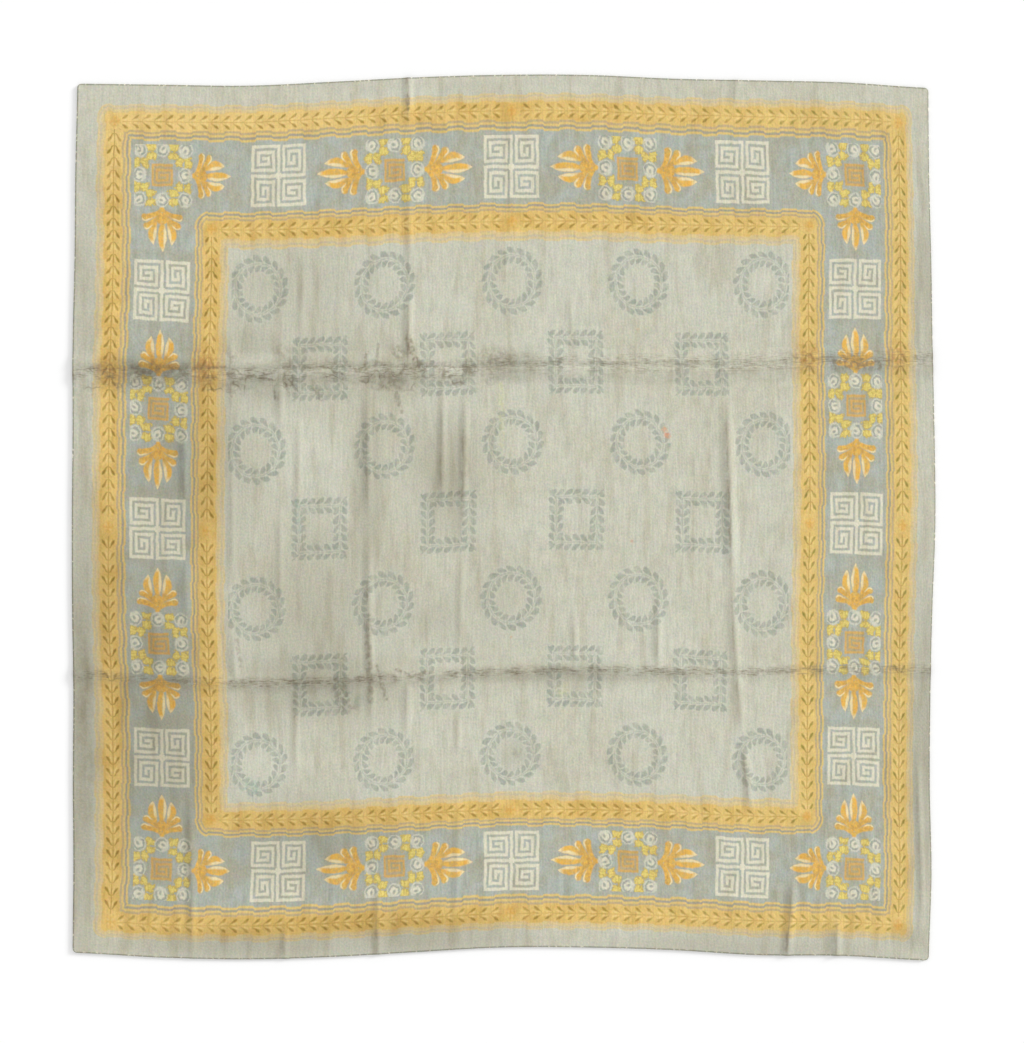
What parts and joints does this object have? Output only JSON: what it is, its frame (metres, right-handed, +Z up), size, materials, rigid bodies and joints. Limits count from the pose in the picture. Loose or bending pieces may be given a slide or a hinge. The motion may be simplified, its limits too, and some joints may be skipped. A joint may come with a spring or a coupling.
{
  "type": "savonnerie carpet",
  "caption": "Nearly square hand-knotted pile carpet with laurel bands, a border of keys, palmettes and roses, and rows of pale wreaths, lying flat with soft creases.",
  "frame": {"origin": "on the floor, under the middle of the carpet's box", "axes": "+X to the right and +Y towards the top edge as the carpet is seen from above, +Z up from the floor to the pile"},
  "size_m": [4.4448, 4.5594, 0.0244],
  "materials": {
    "wool_pile": "low wool pile, worn and soiled along its creases"
  },
  "bodies": {
    "root": {"carpet": "wool_pile"}
  },
  "joints": []
}
